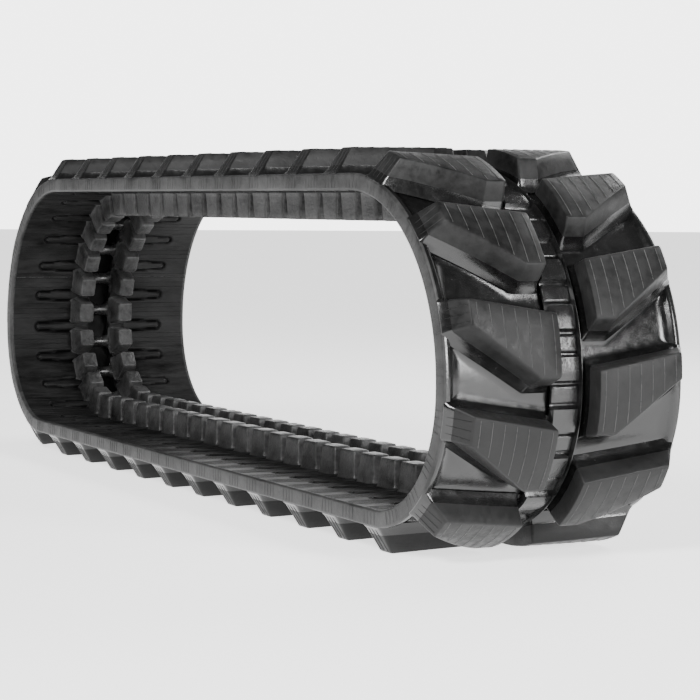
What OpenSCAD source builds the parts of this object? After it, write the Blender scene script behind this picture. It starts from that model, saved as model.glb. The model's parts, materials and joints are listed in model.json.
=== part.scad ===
// Rubber track for a mini excavator: an endless rubber belt, 300 mm wide with
// 62 links of 52.5 mm, standing on the lugs of its lower run.
// X runs along the track, Y across it and Z up. The origin is on the ground
// under the middle of the track.
//
// Everything is placed along the pitch line, the line of the steel cords.
// A station is a distance along that line in links, 0 at the middle of the
// lower run and growing toward +X, up the front end and back over the top.
// At a station the local X runs along the belt, Y across it and Z toward the
// inside of the loop.

/* [Track] */
// Width of the belt
belt_w = 300; // [290:5:340]
// Distance from one link to the next
pitch = 52.5; // [50:0.5:60]
// Radius of the pitch line at the two lower corners
lower_r = 150; // [140:5:180]
// Radius of the pitch line at the two upper corners
upper_r = 214; // [190:5:260]
// Straight length of the pitch line between the corners of an end
end_straight = 8; // [4:1:40]

/* [Carcass] */
// Rubber between the pitch line and the roller path
inner_rubber = 10; // [9:0.5:14]
// Rubber between the pitch line and the foot of the lugs
outer_rubber = 10; // [6:0.5:14]
// Width of the open channel between the two carcass strips
channel_w = 38; // [34:1:42]
// Thickness of the rubber web that closes the drive pockets
web_t = 5; // [3:0.5:6]

/* [Tread lugs] */
// Height of a lug above the carcass
lug_h = 30; // [20:1:36]
// Width of the centre strip between the two rows of lugs
lug_gap = 48; // [44:1:60]
// How far the tread face of a lug stops short of the belt edge
lug_inset = 21; // [12:1:28]
// Length of the outer end of a lug at the tread face
lug_tip_l = 25; // [18:1:34]
// Length of the inner end of a lug at the tread face
lug_root_l = 58; // [50:1:64]
// How far the outer end of a lug is swept forward of its inner end
lug_sweep = 15; // [5:1:22]
// Lean of a lug's leading flank from upright, in degrees
leading_lean = 11; // [5:1:16]
// Lean of a lug's diagonal and trailing flanks from upright, in degrees
trailing_lean = 22; // [8:1:26]

/* [Steel cores] */
// Length of a core across the belt
core_w = 250; // [220:2:262]
// Width of a core's wing along the belt
wing_l = 26; // [20:1:32]
// Thickness of a core's wing
wing_t = 6; // [4:0.5:6]
// Diameter of the bar that the sprocket drives
bar_d = 12; // [10:0.5:13]
// Rubber over the bar
bar_cover = 2; // [1:0.5:3]

/* [Guide horns] */
// Height of a rubber-covered horn above the roller path
horn_h = 32; // [20:1:34]
// Length of a horn along the belt at its foot
horn_foot_l = 44; // [36:1:46]
// Length of a horn along the belt at its tip
horn_tip_l = 35; // [22:1:36]
// Distance between the two rows of horns at their tips
horn_gap = 42; // [38:1:48]
// Width of a horn across the belt at its foot
horn_foot_w = 30; // [26:1:36]
// Width of a horn across the belt at its tip
horn_tip_w = 24; // [20:1:26]
// Thickness of the rubber over the steel of a horn
horn_cover = 5; // [3:0.5:6]

/* [Steel cords] */
// Diameter of a steel cord
cord_d = 2.4; // [1.6:0.2:2.8]
// Cords in each carcass strip
cords_per_side = 6; // [3:1:8]
// Distance between cords
cord_pitch = 18; // [8:1:18]

/* [Hidden] */
LINKS = 62;
// Stations of the living hinges between the runs of the belt
LOWER = 10;
MIDDLE = 16;
UPPER = 20;
TOP = LINKS / 2;
// Bodies: name prefix, first station, last station
BOTTOM_RUN = [-LOWER, LOWER];
FRONT_LOWER = [LOWER, MIDDLE];
FRONT_UPPER = [MIDDLE, UPPER];
FRONT_TOP = [UPPER, TOP];
REAR_LOWER = [-MIDDLE, -LOWER];
REAR_UPPER = [-UPPER, -MIDDLE];
REAR_TOP = [-TOP, -UPPER];

RUBBER = "#2b2c2e";
LUG_RUBBER = "#37383a";
STEEL = "#7d8288";
ROUND_FN = 48;
BIG = 400;
// Belt edge left free by the foot of a lug, and how far a lug's root lies ahead of a joint
LUG_MARGIN = 2;
LUG_LEAD = 28;
// Raised blocks of the centre web
BLOCK_H = 5;
BLOCK_EXTRA = 7;
BLOCK_INSET = 1;
// Depth of a core's wing below the roller path
WING_DEPTH = 2;
END_GAP = 0.4;
// Opening angle of the notch at a living hinge, outside and inside the belt
NOTCH_OUT = 7;
NOTCH_IN = 12;

half_w = belt_w / 2;
half_channel = channel_w / 2;
ground_h = outer_rubber + lug_h;
// Half the length of the pitch line's box, in whole thousandths of a millimetre
half_length = round(250 * (LINKS * pitch - 2 * end_straight - (PI - 2) * (lower_r + upper_r))) / 1000;

// The front half of the pitch line in pieces, from the middle of the lower run to the
// middle of the upper one. A radius of 0 is a straight piece. The rear half mirrors it.
lower_l = half_length - lower_r;
upper_l = half_length - upper_r;
top_z = ground_h + lower_r + end_straight + upper_r;
PIECE_L = [lower_l, lower_r * PI / 2, end_straight, upper_r * PI / 2, upper_l];
PIECE_R = [0, lower_r, 0, upper_r, 0];
function sum_to(list, n) = n <= 0 ? 0 : list[n - 1] + sum_to(list, n - 1);
PIECE_S = [for (i = [0:5]) sum_to(PIECE_L, i)];
// Where each piece starts: x, z and the direction of travel in degrees
STARTS = [[0, ground_h, 0],
          [lower_l, ground_h, 0],
          [half_length, ground_h + lower_r, 90],
          [half_length, ground_h + lower_r + end_straight, 90],
          [upper_l, top_z, 180]];

function turn(i, s) = PIECE_R[i] == 0 ? 0 : (s - PIECE_S[i]) / PIECE_R[i] * 180 / PI;
// The x, z and direction at distance s on piece i
function on_piece(i, s) =
    PIECE_R[i] == 0
    ? STARTS[i] + (s - PIECE_S[i]) * [cos(STARTS[i][2]), sin(STARTS[i][2]), 0]
    : STARTS[i] + [PIECE_R[i] * (sin(STARTS[i][2] + turn(i, s)) - sin(STARTS[i][2])),
                   PIECE_R[i] * (cos(STARTS[i][2]) - cos(STARTS[i][2] + turn(i, s))),
                   turn(i, s)];
function piece_at(s, i = 4) = i == 0 || s >= PIECE_S[i] ? i : piece_at(s, i - 1);
function place(s) = on_piece(piece_at(s), s);

// Puts its children at a station given in links
module at_link(k) {
    p = place(abs(k) * pitch);
    turned = k < 0 ? p[2] : -p[2];
    translate([sign(k) * p[0], 0, p[1]]) rotate([0, turned, 0]) children();
}

// Draws a named cross-section along the belt, from one station of span to the other
module along(span, profile) {
    if (span[1] > 0) along_front(max(0, span[0] * pitch + END_GAP), span[1] * pitch - END_GAP, profile);
    if (span[0] < 0)
        mirror([1, 0, 0])
            along_front(max(0, -span[1] * pitch + END_GAP), -span[0] * pitch - END_GAP, profile);
}

// The same on the front half, between the distances s0 and s1. A corner that is cut
// short at its start is drawn back from its end, so that it meets the next piece.
module along_front(s0, s1, profile) {
    for (i = [0:4]) {
        a = max(s0, PIECE_S[i]);
        b = min(s1, PIECE_S[i + 1]);
        backward = PIECE_R[i] > 0 && a > PIECE_S[i];
        p = on_piece(i, backward ? b : a);
        if (b > a)
            translate([p[0], 0, p[1]]) rotate([0, -p[2], 0])
                if (PIECE_R[i] == 0) {
                    rotate([90, 0, 90]) linear_extrude(b - a) section(profile);
                } else {
                    sweep = (b - a) / PIECE_R[i] * 180 / PI;
                    translate([0, 0, PIECE_R[i]]) rotate([90, 90, 0])
                        rotate_extrude(angle = backward ? -sweep : sweep, $fn = 180)
                            translate([PIECE_R[i], 0]) mirror([1, 1]) section(profile);
                }
    }
}

function cord_y(n) = half_channel + (half_w - half_channel) / 2 + (n - (cords_per_side - 1) / 2) * cord_pitch;

// Cross-sections, x across the belt and y toward the inside of the loop
module section(profile) {
    if (profile == "carcass_left") strip_section(1);
    if (profile == "carcass_right") strip_section(-1);
    if (profile == "web")
        translate([-half_channel, -outer_rubber]) square([channel_w, web_t]);
    if (profile == "block")
        translate([BLOCK_INSET - half_channel, -outer_rubber - BLOCK_H])
            square([channel_w - 2 * BLOCK_INSET, BLOCK_H + 1]);
    if (profile == "cords")
        for (side = [-1, 1], n = [0:cords_per_side - 1])
            translate([side * cord_y(n), 0]) circle(d = cord_d, $fn = ROUND_FN);
    if (profile == "tread")
        translate([-half_w, -ground_h]) square([belt_w, lug_h]);
}

module strip_section(side) {
    difference() {
        translate([side > 0 ? half_channel : -half_w, -outer_rubber])
            square([half_w - half_channel, outer_rubber + inner_rubber]);
        for (n = [0:cords_per_side - 1])
            translate([side * cord_y(n), 0]) circle(d = cord_d, $fn = ROUND_FN);
    }
}

// V-shaped notches, their points on the pitch line, where a run meets the next
module notches(span) {
    for (k = span)
        at_link(k) rotate([90, 0, 0]) linear_extrude(belt_w + 20, center = true) {
            polygon([[0, 0], [-BIG / 4 * tan(NOTCH_OUT / 2), -BIG / 4],
                     [BIG / 4 * tan(NOTCH_OUT / 2), -BIG / 4]]);
            polygon([[0, 0], [BIG / 4 * tan(NOTCH_IN / 2), BIG / 4],
                     [-BIG / 4 * tan(NOTCH_IN / 2), BIG / 4]]);
        }
}

// A block whose four flanks lean in from the foot to the tip, cut from two prisms
module tapered_block(foot, tip, height) {
    intersection() {
        rotate([90, 0, 0]) linear_extrude(foot[1] * 2, center = true)
            polygon([[-foot[0] / 2, 0], [foot[0] / 2, 0], [tip[0] / 2, height], [-tip[0] / 2, height]]);
        rotate([90, 0, 90]) linear_extrude(foot[0] * 2, center = true)
            polygon([[-foot[1] / 2, 0], [foot[1] / 2, 0], [tip[1] / 2, height], [-tip[1] / 2, height]]);
    }
}

horn_y = (horn_gap + horn_tip_w) / 2;
wing_top = inner_rubber - WING_DEPTH;

// The steel core of one link: wings in the rubber, a bar across the channel and two horns
module core() {
    for (side = [-1, 1]) {
        translate([-wing_l / 2, side > 0 ? half_channel : -core_w / 2, wing_top - wing_t])
            cube([wing_l, core_w / 2 - half_channel, wing_t]);
        translate([0, side * horn_y, wing_top - 1])
            tapered_block([horn_foot_l - 4 * horn_cover, horn_foot_w - 2 * horn_cover],
                          [horn_tip_l - 2 * horn_cover, horn_tip_w - 2 * horn_cover],
                          horn_h - horn_cover + 3);
    }
    rotate([90, 0, 0]) cylinder(d = bar_d, h = channel_w + 8, center = true, $fn = ROUND_FN);
}

module cores_of(span) {
    color(STEEL) for (k = [span[0]:span[1] - 1]) at_link(k + 0.5) core();
}

module cords_of(span) {
    color(STEEL) along(span, "cords");
}

module carcass_of(span, side) {
    color(RUBBER) difference() {
        along(span, side > 0 ? "carcass_left" : "carcass_right");
        for (k = [span[0]:span[1] - 1]) at_link(k + 0.5) core();
        notches(span);
    }
}

module web_of(span) {
    reach = (bar_d / 2 + BLOCK_EXTRA) / pitch;
    color(RUBBER) difference() {
        union() {
            along(span, "web");
            for (k = [span[0]:span[1] - 1]) along([k + 0.5 - reach, k + 0.5 + reach], "block");
        }
        for (k = [span[0]:span[1] - 1]) at_link(k + 0.5) bar_sleeve();
        notches(span);
    }
}

module bar_sleeve() {
    rotate([90, 0, 0])
        cylinder(d = bar_d + 2 * bar_cover, h = channel_w, center = true, $fn = ROUND_FN);
}

// The rubber over one core: a cover on each horn and a sleeve on the bar
module horn_covers() {
    difference() {
        union() {
            for (side = [-1, 1])
                translate([0, side * horn_y, inner_rubber])
                    tapered_block([horn_foot_l, horn_foot_w], [horn_tip_l, horn_tip_w], horn_h);
            bar_sleeve();
        }
        core();
    }
}

module horns_of(span) {
    color(RUBBER) difference() {
        for (k = [span[0]:span[1] - 1]) at_link(k + 0.5) horn_covers();
        along(span, "carcass_left");
        along(span, "carcass_right");
    }
}

// Outline of a left-hand lug at the tread face, x along the belt and y across it
tip_y = half_w - lug_inset;
end_lean = atan((lug_inset - LUG_MARGIN) / lug_h);
LUG = [[0, lug_gap / 2], [lug_sweep, tip_y], [lug_sweep - lug_tip_l, tip_y],
       [-lug_root_l, lug_gap / 2 + 25], [-lug_root_l, lug_gap / 2]];

// A wall that trims everything outside the edge from a to b, leaning out toward the foot
module lean_cut(a, b, lean) {
    edge = atan2(b[1] - a[1], b[0] - a[0]);
    translate([a[0], a[1], -ground_h]) rotate(edge) rotate([-lean, 0, 0])
        translate([-BIG / 2, 0, -BIG / 4]) cube([BIG, BIG, BIG / 2]);
}

module lug_prism() {
    difference() {
        translate([-pitch * 1.6, lug_gap / 2, -ground_h - 20])
            cube([pitch * 2.1, half_w - lug_gap / 2, ground_h + 30]);
        lean_cut(LUG[1], LUG[0], leading_lean);
        lean_cut(LUG[2], LUG[1], end_lean);
        lean_cut(LUG[3], LUG[2], trailing_lean);
        lean_cut(LUG[4], LUG[3], trailing_lean);
    }
}

// The lugs of one row: two links to a lug, the right row one link behind the left
module lugs_of(span, side) {
    row = side > 0 ? 0 : 1;
    lead = LUG_LEAD / pitch;
    color(LUG_RUBBER) difference() {
        intersection() {
            along(span, "tread");
            for (k = [span[0] - 1:span[1] + 2])
                if ((k + row) % 2 == 0)
                    at_link(k - lead) mirror([0, side > 0 ? 0 : 1, 0]) lug_prism();
        }
        notches(span);
    }
}

module bottom_carcass_left() carcass_of(BOTTOM_RUN, 1);
module bottom_carcass_right() carcass_of(BOTTOM_RUN, -1);
module bottom_centre_web() web_of(BOTTOM_RUN);
module bottom_cores() cores_of(BOTTOM_RUN);
module bottom_cords() cords_of(BOTTOM_RUN);
module bottom_guide_horns() horns_of(BOTTOM_RUN);
module bottom_lugs_left() lugs_of(BOTTOM_RUN, 1);
module bottom_lugs_right() lugs_of(BOTTOM_RUN, -1);
module front_lower_carcass_left() carcass_of(FRONT_LOWER, 1);
module front_lower_carcass_right() carcass_of(FRONT_LOWER, -1);
module front_lower_centre_web() web_of(FRONT_LOWER);
module front_lower_cores() cores_of(FRONT_LOWER);
module front_lower_cords() cords_of(FRONT_LOWER);
module front_lower_guide_horns() horns_of(FRONT_LOWER);
module front_lower_lugs_left() lugs_of(FRONT_LOWER, 1);
module front_lower_lugs_right() lugs_of(FRONT_LOWER, -1);
module front_upper_carcass_left() carcass_of(FRONT_UPPER, 1);
module front_upper_carcass_right() carcass_of(FRONT_UPPER, -1);
module front_upper_centre_web() web_of(FRONT_UPPER);
module front_upper_cores() cores_of(FRONT_UPPER);
module front_upper_cords() cords_of(FRONT_UPPER);
module front_upper_guide_horns() horns_of(FRONT_UPPER);
module front_upper_lugs_left() lugs_of(FRONT_UPPER, 1);
module front_upper_lugs_right() lugs_of(FRONT_UPPER, -1);
module front_top_carcass_left() carcass_of(FRONT_TOP, 1);
module front_top_carcass_right() carcass_of(FRONT_TOP, -1);
module front_top_centre_web() web_of(FRONT_TOP);
module front_top_cores() cores_of(FRONT_TOP);
module front_top_cords() cords_of(FRONT_TOP);
module front_top_guide_horns() horns_of(FRONT_TOP);
module front_top_lugs_left() lugs_of(FRONT_TOP, 1);
module front_top_lugs_right() lugs_of(FRONT_TOP, -1);
module rear_lower_carcass_left() carcass_of(REAR_LOWER, 1);
module rear_lower_carcass_right() carcass_of(REAR_LOWER, -1);
module rear_lower_centre_web() web_of(REAR_LOWER);
module rear_lower_cores() cores_of(REAR_LOWER);
module rear_lower_cords() cords_of(REAR_LOWER);
module rear_lower_guide_horns() horns_of(REAR_LOWER);
module rear_lower_lugs_left() lugs_of(REAR_LOWER, 1);
module rear_lower_lugs_right() lugs_of(REAR_LOWER, -1);
module rear_upper_carcass_left() carcass_of(REAR_UPPER, 1);
module rear_upper_carcass_right() carcass_of(REAR_UPPER, -1);
module rear_upper_centre_web() web_of(REAR_UPPER);
module rear_upper_cores() cores_of(REAR_UPPER);
module rear_upper_cords() cords_of(REAR_UPPER);
module rear_upper_guide_horns() horns_of(REAR_UPPER);
module rear_upper_lugs_left() lugs_of(REAR_UPPER, 1);
module rear_upper_lugs_right() lugs_of(REAR_UPPER, -1);
module rear_top_carcass_left() carcass_of(REAR_TOP, 1);
module rear_top_carcass_right() carcass_of(REAR_TOP, -1);
module rear_top_centre_web() web_of(REAR_TOP);
module rear_top_cores() cores_of(REAR_TOP);
module rear_top_cords() cords_of(REAR_TOP);
module rear_top_guide_horns() horns_of(REAR_TOP);
module rear_top_lugs_left() lugs_of(REAR_TOP, 1);
module rear_top_lugs_right() lugs_of(REAR_TOP, -1);

bottom_carcass_left();
bottom_carcass_right();
bottom_centre_web();
bottom_cores();
bottom_cords();
bottom_guide_horns();
bottom_lugs_left();
bottom_lugs_right();
front_lower_carcass_left();
front_lower_carcass_right();
front_lower_centre_web();
front_lower_cores();
front_lower_cords();
front_lower_guide_horns();
front_lower_lugs_left();
front_lower_lugs_right();
front_upper_carcass_left();
front_upper_carcass_right();
front_upper_centre_web();
front_upper_cores();
front_upper_cords();
front_upper_guide_horns();
front_upper_lugs_left();
front_upper_lugs_right();
front_top_carcass_left();
front_top_carcass_right();
front_top_centre_web();
front_top_cores();
front_top_cords();
front_top_guide_horns();
front_top_lugs_left();
front_top_lugs_right();
rear_lower_carcass_left();
rear_lower_carcass_right();
rear_lower_centre_web();
rear_lower_cores();
rear_lower_cords();
rear_lower_guide_horns();
rear_lower_lugs_left();
rear_lower_lugs_right();
rear_upper_carcass_left();
rear_upper_carcass_right();
rear_upper_centre_web();
rear_upper_cores();
rear_upper_cords();
rear_upper_guide_horns();
rear_upper_lugs_left();
rear_upper_lugs_right();
rear_top_carcass_left();
rear_top_carcass_right();
rear_top_centre_web();
rear_top_cores();
rear_top_cords();
rear_top_guide_horns();
rear_top_lugs_left();
rear_top_lugs_right();
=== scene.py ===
"""The looks of the rubber track: moulded rubber skins bent along the pitch line of the CAD belt.

Every rubber piece is drawn in belt coordinates (s, y, h): s is the distance along the pitch line from
the middle of the lower run, y goes across the belt and h toward the inside of the loop. bend() turns
them into the row frame. All lengths are in metres.
"""
import json
import math
import random

import bmesh
import bpy
import numpy as np
from mathutils import Matrix, Vector


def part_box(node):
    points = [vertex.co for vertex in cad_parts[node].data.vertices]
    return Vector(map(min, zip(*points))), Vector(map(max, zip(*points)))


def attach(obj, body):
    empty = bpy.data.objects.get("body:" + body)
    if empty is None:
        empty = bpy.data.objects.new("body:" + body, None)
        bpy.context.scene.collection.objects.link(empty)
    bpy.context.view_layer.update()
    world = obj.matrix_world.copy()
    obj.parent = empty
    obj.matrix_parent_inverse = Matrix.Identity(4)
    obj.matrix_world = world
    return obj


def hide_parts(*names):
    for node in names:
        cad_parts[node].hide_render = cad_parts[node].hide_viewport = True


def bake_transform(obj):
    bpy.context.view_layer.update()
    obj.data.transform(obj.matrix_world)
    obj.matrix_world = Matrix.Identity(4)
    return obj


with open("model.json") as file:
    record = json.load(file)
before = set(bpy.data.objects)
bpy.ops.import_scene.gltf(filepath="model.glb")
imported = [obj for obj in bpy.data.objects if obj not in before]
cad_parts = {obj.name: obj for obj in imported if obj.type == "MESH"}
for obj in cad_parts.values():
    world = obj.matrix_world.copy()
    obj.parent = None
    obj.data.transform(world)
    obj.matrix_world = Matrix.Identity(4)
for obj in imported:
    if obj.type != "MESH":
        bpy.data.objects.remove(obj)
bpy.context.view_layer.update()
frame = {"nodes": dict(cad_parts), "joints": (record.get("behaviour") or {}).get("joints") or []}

# ---------------------------------------------------------------- sizes, from the frame where it has them
LINKS = 62
LOWER, MIDDLE, UPPER, TOP = 10, 16, 20, 31
joint_at = {j["name"]: Vector(j["pos_m"]) for j in frame["joints"]}
strip_low, strip_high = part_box("bottom_carcass_left")
lug_low, lug_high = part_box("bottom_lugs_left")
horn_low, horn_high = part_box("bottom_guide_horns")
PITCH = joint_at["front_lower_flex"].x / LOWER
GROUND_H = joint_at["front_lower_flex"].z
HALF_W = strip_high.y
HALF_CHANNEL = strip_low.y
INNER = strip_high.z - GROUND_H
OUTER = GROUND_H - strip_low.z
LUG_Y = lug_low.y
LOWER_R = 0.150
UPPER_R = 0.214
END_STRAIGHT = 0.008
MM = 0.001

LENGTH = LINKS * PITCH
HALF_LENGTH = (LENGTH - 2 * END_STRAIGHT - (math.pi - 2) * (LOWER_R + UPPER_R)) / 4
LOWER_L = HALF_LENGTH - LOWER_R
UPPER_L = HALF_LENGTH - UPPER_R
TOP_Z = GROUND_H + LOWER_R + END_STRAIGHT + UPPER_R
S1 = LOWER_L
S2 = S1 + LOWER_R * math.pi / 2
S3 = S2 + END_STRAIGHT
S4 = S3 + UPPER_R * math.pi / 2


def centre_line(s):
    """x, z and direction of travel on the pitch line at the distances s."""
    s = np.asarray(s, float)
    u = np.abs(s)
    x = np.where(u < S1, u, 0.0)
    z = np.full_like(u, GROUND_H)
    a = np.zeros_like(u)
    t = np.clip((u - S1) / LOWER_R, 0, math.pi / 2)
    low = (u >= S1) & (u < S2)
    x = np.where(low, LOWER_L + LOWER_R * np.sin(t), x)
    z = np.where(low, GROUND_H + LOWER_R * (1 - np.cos(t)), z)
    a = np.where(low, t, a)
    side = (u >= S2) & (u < S3)
    x = np.where(side, HALF_LENGTH, x)
    z = np.where(side, GROUND_H + LOWER_R + u - S2, z)
    a = np.where(side, math.pi / 2, a)
    t = np.clip((u - S3) / UPPER_R, 0, math.pi / 2)
    high = (u >= S3) & (u < S4)
    x = np.where(high, UPPER_L + UPPER_R * np.cos(t), x)
    z = np.where(high, TOP_Z - UPPER_R + UPPER_R * np.sin(t), z)
    a = np.where(high, math.pi / 2 + t, a)
    over = u >= S4
    x = np.where(over, UPPER_L - (u - S4), x)
    z = np.where(over, TOP_Z, z)
    a = np.where(over, math.pi, a)
    sign = np.where(s < 0, -1.0, 1.0)
    return x * sign, z, a * sign


def bend(points):
    """Belt coordinates (s, y, h) to the row frame."""
    p = np.asarray(points, float)
    x, z, a = centre_line(p[:, 0])
    return np.stack([x - p[:, 2] * np.sin(a), p[:, 1], z + p[:, 2] * np.cos(a)], axis=1)


def smooth(t):
    t = np.clip(t, 0, 1)
    return t * t * (3 - 2 * t)


# ---------------------------------------------------------------- materials
def new_material(name):
    m = bpy.data.materials.new(name)
    m.use_nodes = True
    return m, m.node_tree.nodes, m.node_tree.links, m.node_tree.nodes["Principled BSDF"]


def noise(nodes, links, scale, detail=6.0, rough=0.6, stretch=None):
    coord = nodes.new("ShaderNodeTexCoord")
    mapping = nodes.new("ShaderNodeMapping")
    links.new(coord.outputs["Object"], mapping.inputs["Vector"])
    if stretch:
        mapping.inputs["Scale"].default_value = stretch
    tex = nodes.new("ShaderNodeTexNoise")
    tex.inputs["Scale"].default_value = scale
    tex.inputs["Detail"].default_value = detail
    tex.inputs["Roughness"].default_value = rough
    links.new(mapping.outputs["Vector"], tex.inputs["Vector"])
    return tex


def ramp(nodes, links, source, low, high, start=0.3, end=0.7):
    """A map range from a noise's value to low..high."""
    node = nodes.new("ShaderNodeMapRange")
    node.inputs["From Min"].default_value = start
    node.inputs["From Max"].default_value = end
    node.inputs["To Min"].default_value = low
    node.inputs["To Max"].default_value = high
    links.new(source, node.inputs["Value"])
    return node.outputs["Result"]


def rubber(name, dark, light, gloss, matt, bump, shine=0.3, grain=900.0, patch=14.0, stretch=None,
           painted_shade_low=None):
    """Moulded rubber: a slow change of shade, patches of gloss and a fine moulded grain."""
    m, nodes, links, bsdf = new_material(name)
    slow = noise(nodes, links, patch, 5, 0.6, stretch)
    mid = noise(nodes, links, patch * 7, 6, 0.65, stretch)
    fine = noise(nodes, links, grain, 3, 0.5)
    mix = nodes.new("ShaderNodeMix")
    mix.data_type = "RGBA"
    mix.inputs["A"].default_value = (*dark, 1)
    mix.inputs["B"].default_value = (*light, 1)
    both = nodes.new("ShaderNodeMath")
    both.operation = "MULTIPLY_ADD"
    links.new(slow.outputs["Fac"], both.inputs[0])
    both.inputs[1].default_value = 0.6
    scaled = nodes.new("ShaderNodeMath")
    scaled.operation = "MULTIPLY"
    scaled.inputs[1].default_value = 0.4
    links.new(mid.outputs["Fac"], scaled.inputs[0])
    links.new(scaled.outputs["Value"], both.inputs[2])
    links.new(ramp(nodes, links, both.outputs["Value"], 0, 1, 0.36, 0.64), mix.inputs["Factor"])
    colour = mix.outputs["Result"]
    # Painted shade near the ground, where the low parts look less lit
    if painted_shade_low:
        colour = paint_shade_near_ground(nodes, links, colour, painted_shade_low)
    links.new(colour, bsdf.inputs["Base Color"])
    links.new(ramp(nodes, links, mid.outputs["Fac"], gloss, matt), bsdf.inputs["Roughness"])
    bsdf.inputs["Specular IOR Level"].default_value = shine
    small = nodes.new("ShaderNodeBump")
    small.inputs["Strength"].default_value = bump
    small.inputs["Distance"].default_value = 0.0004
    links.new(fine.outputs["Fac"], small.inputs["Height"])
    broad = nodes.new("ShaderNodeBump")
    broad.inputs["Strength"].default_value = bump
    broad.inputs["Distance"].default_value = 0.0015
    links.new(mid.outputs["Fac"], broad.inputs["Height"])
    links.new(small.outputs["Normal"], broad.inputs["Normal"])
    links.new(broad.outputs["Normal"], bsdf.inputs["Normal"])
    return m


def paint_shade_near_ground(nodes, links, colour, shade):
    """Mixes a fixed colour of painted shade into the rubber near the ground, fading out higher up."""
    coord = nodes.new("ShaderNodeTexCoord")
    split = nodes.new("ShaderNodeSeparateXYZ")
    links.new(coord.outputs["Object"], split.inputs["Vector"])
    mix = nodes.new("ShaderNodeMix")
    mix.data_type = "RGBA"
    mix.inputs["B"].default_value = (*shade, 1)
    links.new(colour, mix.inputs["A"])
    links.new(ramp(nodes, links, split.outputs["Z"], 0.8, 0.0, 0.14, 0.42), mix.inputs["Factor"])
    return mix.outputs["Result"]


def steel(name, dark, light, matt):
    m, nodes, links, bsdf = new_material(name)
    tex = noise(nodes, links, 60, 8, 0.7)
    mix = nodes.new("ShaderNodeMix")
    mix.data_type = "RGBA"
    mix.inputs["A"].default_value = (*dark, 1)
    mix.inputs["B"].default_value = (*light, 1)
    links.new(ramp(nodes, links, tex.outputs["Fac"], 0, 1), mix.inputs["Factor"])
    links.new(mix.outputs["Result"], bsdf.inputs["Base Color"])
    bsdf.inputs["Metallic"].default_value = 1.0
    links.new(ramp(nodes, links, tex.outputs["Fac"], matt - 0.12, matt + 0.1), bsdf.inputs["Roughness"])
    bump = nodes.new("ShaderNodeBump")
    bump.inputs["Strength"].default_value = 0.3
    bump.inputs["Distance"].default_value = 0.0006
    links.new(tex.outputs["Fac"], bump.inputs["Height"])
    links.new(bump.outputs["Normal"], bsdf.inputs["Normal"])
    return m


def grey(v, warm=0.0):
    return (v * (1 + warm), v, v * (1 - warm))


# The tread gets painted shade near the ground
TREAD = rubber("tread_rubber", grey(0.002), grey(0.030), 0.30, 0.56, 0.3, 0.2, painted_shade_low=grey(0.016))
GLOSS = rubber("hollow_rubber", grey(0.002), grey(0.008), 0.14, 0.28, 0.14, 0.7)
SIDE = rubber("side_rubber", grey(0.012), grey(0.060), 0.38, 0.55, 0.4, 0.25)
INSIDE = rubber("roller_path_rubber", grey(0.001), grey(0.026), 0.34, 0.55, 0.5, 0.12, stretch=(1, 0.25, 1))
# Near-black painted shade for the grooves round the pads and the inside face of the web
RECESS_PAINTED_SHADE = rubber("recess_painted_shade", grey(0.001), grey(0.003), 0.40, 0.60, 0.3, 0.1)
HORN = rubber("horn_rubber", grey(0.004), grey(0.060), 0.30, 0.54, 0.7, 0.3, grain=500, patch=30)
# Painted light: a paler copy of the horn rubber for the ends, as if lit from the front
HORN_END_PAINTED_LIGHT = rubber("horn_end_painted_light", grey(0.020), grey(0.095), 0.26, 0.46, 0.7, 0.4, grain=500, patch=30)
BAR = rubber("bar_rubber", grey(0.010), grey(0.045), 0.20, 0.36, 0.25, 0.6)
WEB = rubber("web_rubber", grey(0.003), grey(0.016), 0.12, 0.28, 0.35, 0.7)
# Raised mould lines painted paler than the rubber round them: a painted highlight where they catch the
# light, with painted shade near the ground
PAINTED_HIGHLIGHT_LINES = rubber("mould_line_painted_highlight", grey(0.070), grey(0.150), 0.22, 0.36, 0.10, 0.6, painted_shade_low=grey(0.022))
CORE_STEEL = steel("core_steel", grey(0.16), grey(0.30), 0.48)
CORD_STEEL = steel("cord_steel", grey(0.42, 0.12), grey(0.60, 0.16), 0.34)


# ---------------------------------------------------------------- stretches of skin
# Each stretch of skin spans one living hinge: first link, last link, bodies, hinge station
STRETCHES = [
    ("front_a", 0, 13, "bottom_run", "front_lower", LOWER),
    ("front_b", 13, 18, "front_lower", "front_upper", MIDDLE),
    ("front_c", 18, 31, "front_upper", "front_top", UPPER),
    ("rear_a", -13, 0, "rear_lower", "bottom_run", -LOWER),
    ("rear_b", -18, -13, "rear_upper", "rear_lower", -MIDDLE),
    ("rear_c", -31, -18, "rear_top", "rear_upper", -UPPER),
]
PREFIX = {"bottom_run": "bottom"}


class Skin:
    """Vertices in belt coordinates and faces with materials, gathered into one mesh."""

    def __init__(self):
        self.points, self.faces, self.slots, self.soft = [], [], [], []
        self.count = 0

    def add(self, points, faces, slot=0, shaded=True):
        points = np.asarray(points, float)
        self.points.append(points)
        slots = np.broadcast_to(slot, len(faces))
        for face in faces:
            self.faces.append([i + self.count for i in face])
        self.slots.extend(int(v) for v in slots)
        self.soft.extend([shaded] * len(faces))
        self.count += len(points)

    def close(self, points, side, slot):
        """A flat face over points already added, turned over for the right-hand side."""
        face = list(points)
        self.faces.append(face if side > 0 else face[::-1])
        self.slots.append(slot)
        self.soft.append(False)

    def build(self, name, materials, sharp=None):
        mesh = bpy.data.meshes.new(name)
        mesh.from_pydata(bend(np.concatenate(self.points)).tolist(), [], self.faces)
        mesh.polygons.foreach_set("material_index", self.slots)
        mesh.polygons.foreach_set("use_smooth", self.soft)
        for m in materials:
            mesh.materials.append(m)
        if sharp:
            mesh.set_sharp_from_angle(angle=math.radians(sharp))
        mesh.update()
        piece = bpy.data.objects.new(name, mesh)
        bpy.context.scene.collection.objects.link(piece)
        return piece


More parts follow.
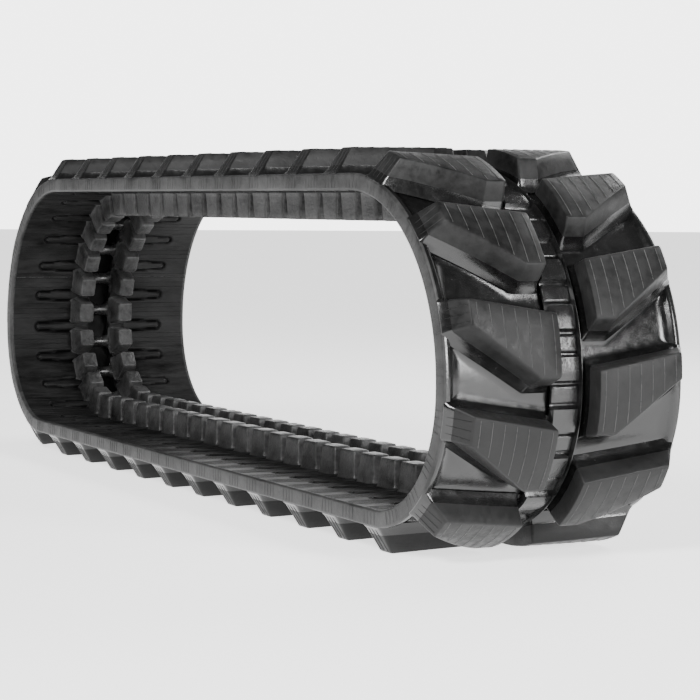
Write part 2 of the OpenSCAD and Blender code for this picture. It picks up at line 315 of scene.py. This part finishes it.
def hang(piece, stretch, kind):
    """Bakes a piece in place and lets it stand for the CAD nodes it covers, which it hides."""
    name, first, last, a, b, hinge = stretch
    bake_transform(piece)
    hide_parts(*[PREFIX.get(body, body) + "_" + kind for body in (a, b)])


def grid_faces(rows, columns, closed):
    """Quads between rows of columns points; closed joins each row's last point to its first."""
    faces = []
    for i in range(rows - 1):
        for j in range(columns if closed else columns - 1):
            k = (j + 1) % columns
            faces.append((i * columns + j, i * columns + k, (i + 1) * columns + k, (i + 1) * columns + j))
    return faces


# ---------------------------------------------------------------- lugs
LUG_H = GROUND_H - OUTER
LUG_INSET = 21 * MM
LUG_TIP_Y = HALF_W - LUG_INSET
LUG_LEAD = 28 * MM
LEADING_LEAN = math.radians(11)
TRAILING_LEAN = math.radians(22)
END_LEAN = math.atan((LUG_INSET - 2 * MM) / LUG_H)
# Tread outline, counter-clockwise in (s, y), with the lean of the flank on the edge that follows
LUG_OUTLINE = [
    (0.0, LUG_Y, LEADING_LEAN),
    (15 * MM, LUG_TIP_Y, END_LEAN),
    (-10 * MM, LUG_TIP_Y, TRAILING_LEAN),
    (-58 * MM, LUG_Y + 25 * MM, TRAILING_LEAN),
    (-58 * MM, LUG_Y, 0.0),
]


def lug_outline(drop, grow=0.0):
    """The lug's outline at a depth drop below the tread face, as corner points (s, y)."""
    n = len(LUG_OUTLINE)
    lines = []
    for i, (s, y, lean) in enumerate(LUG_OUTLINE):
        s2, y2, _ = LUG_OUTLINE[(i + 1) % n]
        length = math.hypot(s2 - s, y2 - y)
        normal = ((y2 - y) / length, -(s2 - s) / length)
        out = drop * math.tan(lean) + grow
        lines.append((normal, normal[0] * s + normal[1] * y + out))
    corners = []
    for i in range(n):
        (a, b), c = lines[i - 1]
        (d, e), f = lines[i]
        det = a * e - b * d
        corners.append(((c * e - b * f) / det, (a * f - c * d) / det))
    return corners


def rounded(corners, radius, arc=6, side=6):
    """Closed outline with round corners and the same number of points whatever the radius."""
    n = len(corners)
    points = [np.array(c) for c in corners]
    bends = []
    for i, p in enumerate(points):
        before, after = points[i - 1] - p, points[(i + 1) % n] - p
        size_b, size_a = np.linalg.norm(before), np.linalg.norm(after)
        half = math.acos(np.clip(before @ after / size_b / size_a, -1, 1)) / 2
        reach = min(radius / math.tan(half), 0.45 * min(size_b, size_a))
        bends.append((p + before / size_b * reach, p, p + after / size_a * reach))
    out = []
    for i, (start, p, end) in enumerate(bends):
        for t in np.linspace(0, 1, arc + 1):
            out.append((1 - t) ** 2 * start + 2 * t * (1 - t) * p + t * t * end)
        following = bends[(i + 1) % n][0]
        for j in range(1, side):
            out.append(end + (following - end) * j / side)
    return np.array(out)


def lug_places(side):
    """Stations of the leading edges of a row's lugs, in metres along the belt."""
    row = 0 if side > 0 else 1
    return [k * PITCH - LUG_LEAD for k in range(-TOP - 1, TOP + 2) if (k + row) % 2 == 0]


EDGE = 1.4 * MM
# From a lug's leading corner back to the middle of the lug, to tell which stretch it stands on
LUG_MIDDLE = 22 * MM
TREAD_SLOT, FOOT_SLOT, LINE_SLOT = 0, 1, 2
# Rings of a lug above this one are tread rubber, those below are the glossy foot
FOOT_RING = 4


def add_lug(skin, lead, side):
    """One lug: tread face, bevelled edge, leaning flanks and a foot that flares into the hollow."""
    rings = []
    for drop, grow, radius in [
        (0.0, -EDGE, 2.0 * MM),
        (0.25 * EDGE, -0.35 * EDGE, 2.5 * MM),
        (EDGE, 0.0, 3.0 * MM),
        (LUG_H * 0.35, 0.0, 3.5 * MM),
        (LUG_H * 0.7, 0.0, 4.5 * MM),
        (LUG_H - 3 * MM, 0.3 * MM, 5.5 * MM),
        (LUG_H, 1.6 * MM, 6.5 * MM),
        (LUG_H + 4 * MM, 3.5 * MM, 7.5 * MM),
    ]:
        flat = rounded(lug_outline(drop, grow), radius)
        rings.append(np.column_stack([flat[:, 0], flat[:, 1], np.full(len(flat), drop - GROUND_H)]))
    columns = len(rings[0])
    points = np.concatenate(rings)
    # The root keeps clear of the centre strip and the foot stays inside the belt edge
    points[:, 1] = np.clip(points[:, 1], LUG_Y - 1.5 * MM, HALF_W - 0.6 * MM)
    faces = grid_faces(len(rings), columns, True)
    slots = []
    for i in range(len(rings) - 1):
        slots.extend([TREAD_SLOT if i < FOOT_RING else FOOT_SLOT] * columns)
    # The tread face: a fan of quads toward the middle keeps the shading flat
    middle = points[:columns].mean(axis=0)
    inner = points[:columns] * 0.5 + middle * 0.5
    inner[:, 2] = -GROUND_H
    points = np.concatenate([points, inner, [middle]])
    base = len(rings) * columns
    for j in range(columns):
        k = (j + 1) % columns
        faces.append((k, j, base + j, base + k))
        faces.append((base + k, base + j, base + columns))
        slots.extend([TREAD_SLOT, TREAD_SLOT])
    points[:, 0] += lead
    points[:, 1] *= side
    if side < 0:
        faces = [tuple(reversed(f)) for f in faces]
    skin.add(points, faces, slots)


def ridge(skin, path, width, height, normal, slot=0):
    """A thin raised mould line along path, a list of (s, y, h); normal is the way it stands up."""
    p = np.asarray(path, float)
    way = np.gradient(p, axis=0)
    n = np.asarray(normal, float)
    across = np.cross(way, n)
    across /= np.linalg.norm(across, axis=1)[:, None]
    rows = [p + across * width / 2 - n * height, p + n * height, p - across * width / 2 - n * height]
    points = np.stack(rows, axis=1).reshape(-1, 3)
    faces = []
    for i in range(len(p) - 1):
        for j in range(2):
            faces.append((3 * i + j, 3 * i + j + 1, 3 * i + j + 4, 3 * i + j + 3))
    faces += [(0, 1, 2), (3 * len(p) - 1, 3 * len(p) - 2, 3 * len(p) - 3)]
    skin.add(points, faces, slot, False)


def lug_span_at(y):
    """Trailing and leading s of the tread face at y."""
    corners = lug_outline(0.0)
    hits = []
    n = len(corners)
    for i in range(n):
        (s1, y1), (s2, y2) = corners[i], corners[(i + 1) % n]
        if (y1 - y) * (y2 - y) < 0:
            hits.append(s1 + (s2 - s1) * (y - y1) / (y2 - y1))
    return min(hits), max(hits)


LINE_STEP = 15 * MM
# Lines up the outer end of a lug, in millimetres from its leading corner
END_LINES = (-6, 2, 10)


def add_lug_lines(skin, lead, side):
    """The fine raised lines along the tread face and up the outer end of one lug."""
    y = LUG_Y + 7 * MM
    while y < LUG_TIP_Y - 2 * MM:
        low, high = lug_span_at(y)
        s = np.linspace(low + 2.5 * MM, high - 2.5 * MM, 9) + lead
        path = np.column_stack([s, np.full(9, y * side), np.full(9, -GROUND_H)])
        # The lines on the tread face take the painted highlight
        ridge(skin, path, 1.1 * MM, 0.45 * MM, (0, 0, -1), LINE_SLOT)
        y += LINE_STEP
    for offset in END_LINES:
        rise = np.linspace(0.08, 0.94, 7)
        y = LUG_TIP_Y + LUG_H * rise * math.tan(END_LEAN)
        h = -GROUND_H + LUG_H * rise
        s = np.full(7, lead + offset * MM)
        normal = np.array((0, side * math.cos(END_LEAN), -math.sin(END_LEAN)))
        ridge(skin, np.column_stack([s, y * side, h]), 1.2 * MM, 0.5 * MM, normal, TREAD_SLOT)


def trim_at_join(piece, side):
    """Cuts a piece off at the plane where the two halves of the upper run meet."""
    shape = bmesh.new()
    shape.from_mesh(piece.data)
    bmesh.ops.bisect_plane(shape, geom=shape.verts[:] + shape.edges[:] + shape.faces[:], dist=1e-6,
                           plane_co=(0, 0, 0), plane_no=(-side, 0, 0), clear_outer=True)
    shape.to_mesh(piece.data)
    shape.free()


def make_lugs():
    for side, word in ((1, "left"), (-1, "right")):
        for stretch in STRETCHES:
            name, first, last = stretch[:3]
            skin = Skin()
            for lead in lug_places(side):
                middle = (lead - LUG_MIDDLE) / PITCH
                if first <= middle < last or last == TOP <= middle < TOP + 0.5:
                    add_lug(skin, lead, side)
                    add_lug_lines(skin, lead, side)
            piece = skin.build(f"{name}_lugs_{word}", [TREAD, GLOSS, PAINTED_HIGHLIGHT_LINES], 38)
            if TOP in (-first, last):
                trim_at_join(piece, 1 if last == TOP else -1)
            hang(piece, stretch, "lugs_" + word)


# ---------------------------------------------------------------- carcass
# The hollows between the lugs: depth, width of their sloping edge, and the rim along the belt edge
DISH = 7.5 * MM
DISH_EDGE = 14 * MM
RIM = 9 * MM
# The oval pads of the roller path: where they start and end across the belt, and half their length along it
OVAL_START = 50 * MM
OVAL_END = 106 * MM
OVAL_HALF = 8 * MM


def distance_outside(s, y, corners):
    """Distance outside a convex outline, negative inside, as a half-plane bound."""
    far = np.full(s.shape, -1.0)
    n = len(corners)
    for i in range(n):
        (s1, y1), (s2, y2) = corners[i], corners[(i + 1) % n]
        length = math.hypot(s2 - s1, y2 - y1)
        far = np.maximum(far, ((y2 - y1) * (s - s1) - (s2 - s1) * (y - y1)) / length)
    return far


def outer_dish(s, y, side):
    """How far the tread side of the carcass dips between the lugs."""
    foot = lug_outline(LUG_H)
    room = np.minimum(HALF_W - RIM - y, 0.05)
    period = 2 * PITCH
    row = 0 if side > 0 else 1
    phase = row * PITCH - LUG_LEAD
    local = (s - phase + period / 2) % period - period / 2
    for shift in (-period, 0, period):
        room = np.minimum(room, distance_outside(local - shift, y, foot) + 1.0 * MM)
    t = np.clip(room / DISH_EDGE, 0, 1)
    return DISH * np.sqrt(1 - (1 - t) ** 2)


def inner_pad(s, y):
    """The oval pads on the roller path half-way between the cores, each with a groove round it."""
    local = (s + PITCH / 2) % PITCH - PITCH / 2
    along = np.clip((y - OVAL_START) / (OVAL_END - OVAL_START), -0.3, 1.3)
    half = OVAL_HALF * (1 - 0.35 * smooth(along))
    middle = np.clip(y, OVAL_START - 5 * MM, OVAL_END - half)
    d = np.hypot(local, (y - middle)) - half
    pad = 1.5 * MM * smooth(-d / (3 * MM))
    groove = 2.6 * MM * np.exp(-((d - 1.0 * MM) / (1.9 * MM)) ** 2)
    groove = np.where(y < OVAL_START - 8 * MM, 0, groove)
    return np.where(y > OVAL_START - 9 * MM, pad - groove, 0)


EDGE_R = 3 * MM


def strip_ring():
    """The cross-section of a strip as (y, h, region).

    Region 0 is the tread side, 1 the belt edge, 2 the roller path and 3 the channel wall.
    """
    ring = []
    for y in np.linspace(HALF_CHANNEL, HALF_W - EDGE_R, 62):
        ring.append((y, -OUTER, 0))
    for t in np.linspace(0, math.pi / 2, 5)[1:]:
        ring.append((HALF_W - EDGE_R + EDGE_R * math.sin(t), -OUTER + EDGE_R - EDGE_R * math.cos(t), 1))
    ring.append((HALF_W, 0.0, 1))
    for t in np.linspace(0, math.pi / 2, 5):
        ring.append((HALF_W - EDGE_R + EDGE_R * math.cos(t), INNER - EDGE_R + EDGE_R * math.sin(t), 1))
    for y in np.linspace(HALF_W - EDGE_R, HALF_CHANNEL, 62)[1:]:
        ring.append((y, INNER, 2))
    ring.append((HALF_CHANNEL, INNER / 2, 3))
    ring.append((HALF_CHANNEL, -OUTER / 2, 3))
    return ring


STEPS_PER_LINK = 24
GLOSS_SLOT, SIDE_SLOT, INSIDE_SLOT, RECESS_SHADE_SLOT = 0, 1, 2, 3
# Depth below which a groove gets the near-black painted shade
GROOVE_SHADE_DEPTH = 0.9 * MM
# The lines over a core: offsets from the core in millimetres, and where they start beside the horn
LINE_OFFSETS = (-12, -4, 4, 12)
LINES_FROM = 53 * MM


def make_carcass():
    ring = strip_ring()
    columns = len(ring)
    y0, h0, region = (np.array(v) for v in zip(*ring))
    for side, word in ((1, "left"), (-1, "right")):
        for stretch in STRETCHES:
            name, first, last = stretch[:3]
            rows = (last - first) * STEPS_PER_LINK + 1
            s = np.repeat(np.linspace(first * PITCH, last * PITCH, rows), columns)
            y = np.tile(y0, rows)
            h = np.tile(h0, rows)
            part = np.tile(region, rows)
            h = np.where(part == 0, h + outer_dish(s, y, side), h)
            h = np.where(part == 2, h + inner_pad(s, y), h)
            faces = grid_faces(rows, columns, True)
            slots = np.tile([GLOSS_SLOT if region[j] == 0 and region[(j + 1) % columns] == 0
                             else SIDE_SLOT if 1 in (region[j], region[(j + 1) % columns]) else INSIDE_SLOT
                             for j in range(columns)], rows - 1)
            sunk = np.where(part == 2, h - INNER, 0.0)
            # Faces sunk deeper than that get the painted shade
            slots = [RECESS_SHADE_SLOT if sunk[list(face)].mean() < -GROOVE_SHADE_DEPTH else slot
                     for face, slot in zip(faces, slots)]
            if side < 0:
                faces = [tuple(reversed(f)) for f in faces]
            skin = Skin()
            skin.add(np.column_stack([s, y * side, h]), faces, slots)
            if first == -TOP:
                skin.close(range(columns - 1, -1, -1), side, SIDE_SLOT)
            if last == TOP:
                skin.close(range((rows - 1) * columns, rows * columns), side, SIDE_SLOT)
            add_strip_lines(skin, first, last, side)
            piece = skin.build(f"{name}_carcass_{word}", [GLOSS, SIDE, INSIDE, RECESS_PAINTED_SHADE], 50)
            hang(piece, stretch, "carcass_" + word)


def add_strip_lines(skin, first, last, side):
    """Fine mould lines over each core: across the roller path and round the belt edge."""
    for k in range(first, last):
        for offset in LINE_OFFSETS:
            s = (k + 0.5) * PITCH + offset * MM
            y = np.linspace(LINES_FROM, HALF_W - EDGE_R, 8)
            path = np.column_stack([np.full(8, s), y * side, np.full(8, INNER)])
            ridge(skin, path, 1.2 * MM, 0.35 * MM, (0, 0, 1), INSIDE_SLOT)
            h = np.linspace(INNER - EDGE_R, -OUTER + EDGE_R, 4)
            path = np.column_stack([np.full(4, s), np.full(4, HALF_W * side), h])
            ridge(skin, path, 1.2 * MM, 0.35 * MM, (0, side, 0), SIDE_SLOT)


# ---------------------------------------------------------------- horns and bars
HORN_FOOT = (44 * MM, 28 * MM)
HORN_TIP = (36.5 * MM, 24 * MM)
# The horns stand a little taller here than in the CAD
HORN_EXTRA = 3 * MM
HORN_H = horn_high.z - strip_high.z + HORN_EXTRA
HORN_GAP = 42 * MM
HORN_Y = (HORN_GAP + HORN_TIP[1]) / 2


# Rings of a horn from foot to tip: share of the height, inset in millimetres, squareness
HORN_RINGS = [
    (-0.06, -3.0, 6), (0.0, -1.4, 7), (0.06, -0.3, 8), (0.2, 0, 9), (0.45, 0, 9),
    (0.7, 0, 9), (0.86, 0.1, 9), (0.94, 0.4, 8), (0.985, 1.0, 8), (1.0, 2.2, 7),
]
HORN_ROUGHNESS = 0.12 * MM
HORN_SLOT, BAR_SLOT, END_SLOT = 0, 1, 2
# Half of a bar's sleeve from its middle to a collar: y and radius, both in millimetres
SLEEVE = [(0.0, 8.6), (9, 8.8), (12.5, 9.6), (15, 11.2), (17, 12.6), (HALF_CHANNEL / MM, 13)]


def superellipse(length, width, power, count=40):
    """A closed outline between an ellipse, at power 2, and a rectangle."""
    t = np.linspace(0, 2 * math.pi, count, endpoint=False)
    c, s = np.cos(t), np.sin(t)
    return np.column_stack([np.sign(c) * np.abs(c) ** (2 / power) * length / 2,
                            np.sign(s) * np.abs(s) ** (2 / power) * width / 2])


def add_horn(skin, link, side, dice):
    """One rubber-covered guide horn: a rough, slightly uneven tapered block with soft edges."""
    rings = []
    bulge = dice.uniform(-0.5, 0.5) * MM
    skew = dice.uniform(-0.6, 0.6) * MM
    for t, inset, power in HORN_RINGS:
        length = HORN_FOOT[0] + (HORN_TIP[0] - HORN_FOOT[0]) * max(t, 0) - 2 * inset * MM
        width = HORN_FOOT[1] + (HORN_TIP[1] - HORN_FOOT[1]) * max(t, 0) - 2 * inset * MM
        flat = superellipse(length + bulge * math.sin(math.pi * max(t, 0)), width, power)
        h = np.full(len(flat), INNER + HORN_H * t)
        rings.append(np.column_stack([flat[:, 0] + skew * t, flat[:, 1], h]))
    points = np.concatenate(rings)
    columns = len(rings[0])
    faces = grid_faces(len(rings), columns, True)
    top = points[-columns:].mean(axis=0)
    points = np.concatenate([points, [top]])
    base = (len(rings) - 1) * columns
    faces += [(base + j, base + (j + 1) % columns, len(points) - 1) for j in range(columns)]
    wobble = np.array([[dice.uniform(-1, 1) for _ in range(3)] for _ in range(len(points))])
    points += wobble * HORN_ROUGHNESS
    points[:, 0] += (link + 0.5) * PITCH
    points[:, 1] += side * HORN_Y
    # The ends that face along the belt get painted light: a paler copy of the horn rubber than the sides, as
    # if lit from the front
    flat = rings[4]
    painted_light_ends = [abs(flat[j, 0] + flat[(j + 1) % columns, 0]) > 0.97 * (flat[:, 0].max() - flat[:, 0].min())
             for j in range(columns)]
    slots = painted_light_ends * (len(rings) - 1) + [False] * columns
    skin.add(points, faces, [END_SLOT if end else HORN_SLOT for end in slots])


def add_bar(skin, link):
    """The rubber sleeve on a core's bar, flared into collars where it meets the strips."""
    profile = [(-y, r) for y, r in reversed(SLEEVE[1:])] + SLEEVE
    count = 28
    t = np.linspace(0, 2 * math.pi, count, endpoint=False)
    points = []
    for y, r in profile:
        points.append(np.column_stack([r * np.cos(t), np.full(count, y), r * np.sin(t)]) * MM)
    points = np.concatenate(points)
    points[:, 2] = np.clip(points[:, 2], -OUTER + 1 * MM, INNER - 0.5 * MM)
    points[:, 0] += (link + 0.5) * PITCH
    skin.add(points, [tuple(reversed(f)) for f in grid_faces(len(profile), count, True)], BAR_SLOT)


def make_horns():
    dice = random.Random(7)
    for stretch in STRETCHES:
        name, first, last = stretch[:3]
        skin = Skin()
        for link in range(first, last):
            for side in (-1, 1):
                add_horn(skin, link, side, dice)
            add_bar(skin, link)
        piece = skin.build(f"{name}_guide_horns", [HORN, BAR, HORN_END_PAINTED_LIGHT], 60)
        hang(piece, stretch, "guide_horns")


# ---------------------------------------------------------------- centre web
WEB_T = 5 * MM
WEB_LOW = OUTER - 2.5 * MM
BAR_BLOCK_H = 7 * MM
JOINT_BLOCK_H = 3.6 * MM
BLOCK_CROWN = 0.9 * MM
# Length of a block's end slope, in links
BLOCK_SLOPE = 0.035
# Across the web in millimetres, with the share of a block's height at each place
WEB_ACROSS = [
    (-19, 0), (-18.6, 0.8), (-17.5, 1), (-12, 1), (-6, 1), (0, 1), (6, 1), (11, 1), (13.6, 0.9), (14.4, 0.5),
    (14.8, 0), (15.6, 0), (16.4, 0), (16.9, 0), (17.5, 0), (18.6, 0), (19, 0),
]
# The flash ridge beside the right-hand row: columns of WEB_ACROSS and how far each stands out
FLASH_FIRST = 10
FLASH_OUT = np.array([0.5, 6.5, 6.5, 0.5]) * MM


def web_height(local):
    """How far the web's outer face lies below the cords; local is 0 at the joint between two links."""
    u = np.abs(local) / PITCH
    under_bar = smooth((u - 0.24) / BLOCK_SLOPE)
    between = smooth((0.19 - u) / BLOCK_SLOPE)
    crown = BLOCK_CROWN * np.cos(np.clip((0.5 - u) / 0.25, 0, 1) * math.pi / 2)
    return WEB_LOW + under_bar * (BAR_BLOCK_H + crown) + between * JOINT_BLOCK_H


def make_web():
    across, share = (np.array(v) for v in zip(*WEB_ACROSS))
    across = across * MM
    for stretch in STRETCHES:
        name, first, last = stretch[:3]
        rows = (last - first) * 36 + 1
        columns = len(across)
        s_line = np.linspace(first * PITCH, last * PITCH, rows)
        local = (s_line + PITCH / 2) % PITCH - PITCH / 2
        outer = WEB_LOW + np.outer(web_height(local) - WEB_LOW, share)
        outer[:, FLASH_FIRST:FLASH_FIRST + len(FLASH_OUT)] = OUTER + FLASH_OUT
        skin = Skin()
        s = np.repeat(s_line, columns)
        y = np.tile(across, rows)
        faces = grid_faces(rows, columns, False)
        skin.add(np.column_stack([s, y, -outer.ravel()]), faces, 0)
        inner = np.column_stack([s, y, np.full(len(s), -OUTER + WEB_T)])
        # The web's inner face gets the near-black painted shade
        skin.add(inner, [tuple(reversed(f)) for f in faces], 1)
        piece = skin.build(f"{name}_centre_web", [WEB, RECESS_PAINTED_SHADE], 40)
        hang(piece, stretch, "centre_web")


SEAM_STATION = -16.62
HORN_OUTSIDE = 52 * MM


def make_seam():
    """The mould parting line across the inside of the rear end."""
    skin = Skin()
    for side in (-1, 1):
        y = np.linspace(HORN_OUTSIDE, HALF_W - EDGE_R, 10) * side
        path = np.column_stack([np.full(10, SEAM_STATION * PITCH), y, np.full(10, INNER)])
        ridge(skin, path, 1.6 * MM, 0.9 * MM, (0, 0, 1))
    # The seam takes the painted highlight of the mould lines
    piece = skin.build("rear_mould_seam", [PAINTED_HIGHLIGHT_LINES])
    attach(piece, "rear_upper")


make_lugs()
make_carcass()
make_horns()
make_web()
make_seam()

for node, obj in frame["nodes"].items():
    if node.endswith("_cores") or node.endswith("_cords"):
        obj.data.materials.clear()
        obj.data.materials.append(CORE_STEEL if node.endswith("_cores") else CORD_STEEL)


# ---------------------------------------------------------------- floor, light and camera
def floor():
    mesh = bpy.data.meshes.new("floor")
    mesh.from_pydata([(-30, -30, 0), (30, -30, 0), (30, 30, 0), (-30, 30, 0)], [], [(0, 1, 2, 3)])
    piece = bpy.data.objects.new("floor", mesh)
    bpy.context.scene.collection.objects.link(piece)
    m, nodes, links, bsdf = new_material("floor_white")
    bsdf.inputs["Base Color"].default_value = (0.9, 0.9, 0.9, 1)
    bsdf.inputs["Emission Color"].default_value = (1, 1, 1, 1)
    bsdf.inputs["Emission Strength"].default_value = 1.6
    bsdf.inputs["Roughness"].default_value = 0.9
    bsdf.inputs["Specular IOR Level"].default_value = 0.1
    piece.data.materials.append(m)


def area(name, place, target, size, power):
    lamp = bpy.data.lights.new(name, "AREA")
    lamp.shape = "RECTANGLE"
    lamp.size, lamp.size_y = size
    lamp.energy = power
    obj = bpy.data.objects.new(name, lamp)
    bpy.context.scene.collection.objects.link(obj)
    obj.location = place
    obj.rotation_euler = (Vector(target) - Vector(place)).to_track_quat("-Z", "Y").to_euler()


def camera():
    data = bpy.data.cameras.new("camera")
    data.lens = 114.7
    data.sensor_width = 36
    data.shift_x = 0.0334
    data.shift_y = -0.0176
    data.clip_end = 100
    obj = bpy.data.objects.new("camera", data)
    bpy.context.scene.collection.objects.link(obj)
    yaw, pitch, roll = math.radians(26.48), math.radians(3.35), math.radians(0.54)
    view = Vector((-math.cos(yaw) * math.cos(pitch), math.sin(yaw) * math.cos(pitch), -math.sin(pitch)))
    obj.location = (2.728, -1.289, 0.383)
    turn = view.to_track_quat("-Z", "Y").to_matrix()
    obj.rotation_euler = (turn @ Matrix.Rotation(roll, 3, "Z")).to_euler()
    bpy.context.scene.camera = obj


# Brightness of the room behind the camera and of the wall beyond the track
ROOM, WALL = 0.15, 4.5


def studio():
    """A white wall beyond the track and a dimmer room behind the camera."""
    world = bpy.data.worlds.new("world")
    bpy.context.scene.world = world
    world.use_nodes = True
    nodes, links = world.node_tree.nodes, world.node_tree.links
    coord = nodes.new("ShaderNodeTexCoord")
    dot = nodes.new("ShaderNodeVectorMath")
    dot.operation = "DOT_PRODUCT"
    dot.inputs[1].default_value = (-0.88, 0.44, -0.17)
    links.new(coord.outputs["Generated"], dot.inputs[0])
    links.new(ramp(nodes, links, dot.outputs["Value"], ROOM, WALL, 0.80, 0.95),
              nodes["Background"].inputs["Strength"])
    nodes["Background"].inputs["Color"].default_value = (1, 1, 1, 1)


floor()
studio()
area("key_light", (2.2, -2.4, 2.4), (0.6, 0, 0.2), (1.0, 1.0), 150)
area("rim_light", (-0.5, 2.5, 2.0), (0.3, 0, 0.2), (2.0, 1.0), 70)
area("end_light", (3.2, 1.0, 1.0), (0.7, 0, 0.25), (0.5, 1.4), 80)
camera()
